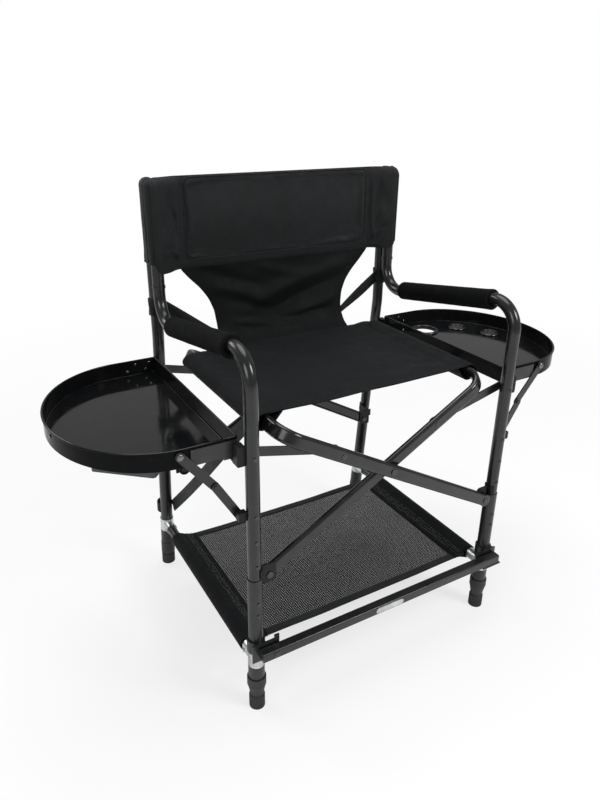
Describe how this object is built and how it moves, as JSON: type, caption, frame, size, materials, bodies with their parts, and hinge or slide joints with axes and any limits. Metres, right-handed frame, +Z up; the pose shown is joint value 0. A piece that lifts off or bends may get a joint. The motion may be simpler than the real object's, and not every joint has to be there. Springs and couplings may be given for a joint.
{
  "type": "director chair",
  "caption": "Tall folding chair with a sling seat and back, padded arms, folding side trays, a mesh shelf, a footrest bar and telescopic feet.",
  "frame": {"origin": "on the floor, under the middle of the chair's outer box", "axes": "+Z up, the chair faces -Y, +X towards the cup-holder tray, X = 0 is the middle plane"},
  "size_m": [1.166, 0.578, 0.975],
  "materials": {
    "frame_black": "semi-gloss powder coat",
    "bracket_black": "moulded, satin",
    "plated_silver": "bright plated sheet",
    "rivet_dark": "dark plated",
    "cloth_black": "coated polyester weave",
    "arm_foam": "closed-cell foam, matt",
    "shelf_mesh": "open plastic-coated mesh",
    "tray_black": "gloss",
    "tray_pocket": "satin",
    "holder_black": "satin",
    "collar_black": "fine texture",
    "foot_rubber": "matt"
  },
  "bodies": {
    "left_frame": {"left_arm_tube": "frame_black", "left_rear_leg_tube": "frame_black", "left_back_post": "frame_black", "left_arm_pad": "arm_foam", "left_leg_sleeves": "frame_black", "left_corner_brackets": "plated_silver", "left_shelf_tube": "frame_black", "left_leg_brackets": "bracket_black", "left_footrest_clamp": "frame_black", "left_leg_fasteners": "rivet_dark", "left_back_sleeve": "cloth_black", "carry_strap": "cloth_black"},
    "right_frame": {"right_arm_tube": "frame_black", "right_rear_leg_tube": "frame_black", "right_back_post": "frame_black", "right_arm_pad": "arm_foam", "right_leg_sleeves": "frame_black", "right_corner_brackets": "plated_silver", "right_shelf_tube": "frame_black", "right_leg_brackets": "bracket_black", "right_footrest_clamp": "frame_black", "right_leg_fasteners": "rivet_dark", "right_back_sleeve": "cloth_black"},
    "x_frame_a": {"x_frame_a_tube": "frame_black", "x_frame_a_pins": "rivet_dark"},
    "x_frame_b": {"x_frame_b_tube": "frame_black", "x_frame_b_rivets": "rivet_dark"},
    "left_stay_pair": {"left_stays": "frame_black"},
    "seat_left": {"seat_left_half": "cloth_black"},
    "back_left": {"back_left_half": "cloth_black"},
    "shelf_left": {"shelf_left_half": "shelf_mesh"},
    "right_stay_pair": {"right_stays": "frame_black"},
    "seat_right": {"seat_right_half": "cloth_black"},
    "back_right": {"back_right_half": "cloth_black"},
    "shelf_right": {"shelf_right_half": "shelf_mesh"},
    "footrest": {"footrest_bar": "frame_black", "blank_plate": "plated_silver"},
    "left_side_tray": {"left_tray": "tray_black", "left_tray_fittings": "frame_black", "left_tray_box": "tray_pocket"},
    "left_upper_brace": {"left_brace_upper": "frame_black"},
    "left_lower_brace": {"left_brace_lower": "frame_black"},
    "right_side_tray": {"right_tray": "tray_black", "right_tray_fittings": "frame_black", "right_tray_holders": "holder_black"},
    "right_upper_brace": {"right_brace_upper": "frame_black"},
    "right_lower_brace": {"right_brace_lower": "frame_black"},
    "front_left_extension": {"front_left_extension_tube": "frame_black", "front_left_rubber_foot": "foot_rubber"},
    "front_left_collar": {"front_left_lock_collar": "collar_black"},
    "front_right_extension": {"front_right_extension_tube": "frame_black", "front_right_rubber_foot": "foot_rubber"},
    "front_right_collar": {"front_right_lock_collar": "collar_black"},
    "rear_left_extension": {"rear_left_extension_tube": "frame_black", "rear_left_rubber_foot": "foot_rubber"},
    "rear_left_collar": {"rear_left_lock_collar": "collar_black"},
    "rear_right_extension": {"rear_right_extension_tube": "frame_black", "rear_right_rubber_foot": "foot_rubber"},
    "rear_right_collar": {"rear_right_lock_collar": "collar_black"}
  },
  "joints": [
    {"name": "fold", "type": "hinge", "parent": "left_frame", "child": "x_frame_a", "pos_m": [-0.264, -0.246, 0.31], "axis": [0, -1, 0], "range_deg": [0, 48.52]},
    {"name": "scissor_cross", "type": "hinge", "parent": "x_frame_a", "child": "x_frame_b", "pos_m": [0, -0.246, 0.45929], "axis": [0, 1, 0], "range_deg": [0, 97.24]},
    {"name": "right_foot_pivot", "type": "hinge", "parent": "x_frame_b", "child": "right_frame", "pos_m": [0.264, -0.246, 0.31], "axis": [0, -1, 0], "range_deg": [0, 48.62]},
    {"name": "left_stay_pivot", "type": "hinge", "parent": "left_frame", "child": "left_stay_pair", "pos_m": [-0.295, -0.246, 0.56849], "axis": [0, -1, 0], "range_deg": [0, 82.53], "deforming": ["carry_strap"]},
    {"name": "right_stay_pivot", "type": "hinge", "parent": "right_frame", "child": "right_stay_pair", "pos_m": [0.295, -0.246, 0.56849], "axis": [0, 1, 0], "range_deg": [0, 82.53]},
    {"name": "seat_rail_turn", "type": "hinge", "parent": "x_frame_a", "child": "seat_right", "pos_m": [0.24, 0, 0.595], "axis": [0, -1, 0], "range_deg": [0, 31.19], "deforming": ["seat_right_half"]},
    {"name": "seat_crease", "type": "hinge", "parent": "seat_right", "child": "seat_left", "pos_m": [0, 0, 0.6094], "axis": [0, 1, 0], "range_deg": [0, 159.62], "deforming": ["seat_left_half"]},
    {"name": "back_edge_turn", "type": "hinge", "parent": "right_frame", "child": "back_right", "pos_m": [0.279, 0.1955, 0.88], "axis": [0, 0, -1], "range_deg": [0, 73.91], "deforming": ["back_right_half"]},
    {"name": "back_crease", "type": "hinge", "parent": "back_right", "child": "back_left", "pos_m": [0, 0.1955, 0.88], "axis": [0, 0, 1], "range_deg": [0, 147.83], "deforming": ["back_left_half"]},
    {"name": "shelf_edge_turn", "type": "hinge", "parent": "left_frame", "child": "shelf_left", "pos_m": [-0.295, 0, 0.125], "axis": [0, -1, 0], "range_deg": [0, 71.56], "deforming": ["shelf_left_half"]},
    {"name": "shelf_crease", "type": "hinge", "parent": "shelf_left", "child": "shelf_right", "pos_m": [0, 0, 0.125], "axis": [0, 1, 0], "range_deg": [0, 143.12], "deforming": ["shelf_right_half"]},
    {"name": "footrest_lift", "type": "hinge", "parent": "left_frame", "child": "footrest", "pos_m": [-0.27, -0.2773, 0.154], "axis": [0, -1, 0], "range_deg": [0, 90]},
    {"name": "left_tray_fold", "type": "hinge", "parent": "left_frame", "child": "left_side_tray", "pos_m": [-0.317, -0.2252, 0.562], "axis": [0, -1, 0], "range_deg": [0, 90], "stiffness_Nm_per_rad": 1.2, "springref_deg": -57.3},
    {"name": "left_brace_tray_pivot", "type": "hinge", "parent": "left_side_tray", "child": "left_upper_brace", "pos_m": [-0.414, -0.228, 0.59], "axis": [0, 1, 0], "range_deg": [0, 111.4]},
    {"name": "left_brace_leg_pivot", "type": "hinge", "parent": "left_frame", "child": "left_lower_brace", "pos_m": [-0.317, -0.231, 0.452], "axis": [0, -1, 0], "range_deg": [0, 149.56]},
    {"name": "right_tray_fold", "type": "hinge", "parent": "right_frame", "child": "right_side_tray", "pos_m": [0.317, -0.2252, 0.562], "axis": [0, 1, 0], "range_deg": [0, 90], "stiffness_Nm_per_rad": 1.2, "springref_deg": -57.3},
    {"name": "right_brace_tray_pivot", "type": "hinge", "parent": "right_side_tray", "child": "right_upper_brace", "pos_m": [0.414, -0.228, 0.59], "axis": [0, -1, 0], "range_deg": [0, 111.4]},
    {"name": "right_brace_leg_pivot", "type": "hinge", "parent": "right_frame", "child": "right_lower_brace", "pos_m": [0.317, -0.231, 0.452], "axis": [0, 1, 0], "range_deg": [0, 149.56]},
    {"name": "front_left_leg_slide", "type": "slide", "parent": "left_frame", "child": "front_left_extension", "axis": [0, 0, -1], "range_m": [0, 0.1]},
    {"name": "front_left_collar_twist", "type": "hinge", "parent": "left_frame", "child": "front_left_collar", "pos_m": [-0.295, -0.246, 0], "axis": [0, 0, -1], "range_deg": [0, 90]},
    {"name": "front_right_leg_slide", "type": "slide", "parent": "right_frame", "child": "front_right_extension", "axis": [0, 0, -1], "range_m": [0, 0.1]},
    {"name": "front_right_collar_twist", "type": "hinge", "parent": "right_frame", "child": "front_right_collar", "pos_m": [0.295, -0.246, 0], "axis": [0, 0, -1], "range_deg": [0, 90]},
    {"name": "rear_left_leg_slide", "type": "slide", "parent": "left_frame", "child": "rear_left_extension", "axis": [0, 0.0936, -0.9956], "range_m": [0, 0.1]},
    {"name": "rear_left_collar_twist", "type": "hinge", "parent": "left_frame", "child": "rear_left_collar", "pos_m": [-0.295, 0.2725, 0], "axis": [0, 0.0936, -0.9956], "range_deg": [0, 90]},
    {"name": "rear_right_leg_slide", "type": "slide", "parent": "right_frame", "child": "rear_right_extension", "axis": [0, 0.0936, -0.9956], "range_m": [0, 0.1]},
    {"name": "rear_right_collar_twist", "type": "hinge", "parent": "right_frame", "child": "rear_right_collar", "pos_m": [0.295, 0.2725, 0], "axis": [0, 0.0936, -0.9956], "range_deg": [0, 90]}
  ],
  "couplings": [
    {"joint": "scissor_cross", "follows": "fold", "ratio": 2},
    {"joint": "right_foot_pivot", "follows": "fold", "ratio": 1},
    {"joint": "left_stay_pivot", "follows": "fold", "ratio": 1.6974},
    {"joint": "right_stay_pivot", "follows": "fold", "ratio": 1.6974},
    {"joint": "seat_rail_turn", "follows": "fold", "ratio": 0.64152},
    {"joint": "seat_crease", "follows": "fold", "ratio": 3.283},
    {"joint": "back_edge_turn", "follows": "fold", "ratio": 1.5202},
    {"joint": "back_crease", "follows": "fold", "ratio": 3.0404},
    {"joint": "shelf_edge_turn", "follows": "fold", "ratio": 1.4718},
    {"joint": "shelf_crease", "follows": "fold", "ratio": 2.9437},
    {"joint": "left_brace_tray_pivot", "follows": "left_tray_fold", "ratio": 1.2353},
    {"joint": "left_brace_leg_pivot", "follows": "left_tray_fold", "ratio": 1.6585},
    {"joint": "right_brace_tray_pivot", "follows": "right_tray_fold", "ratio": 1.2353},
    {"joint": "right_brace_leg_pivot", "follows": "right_tray_fold", "ratio": 1.6585}
  ]
}
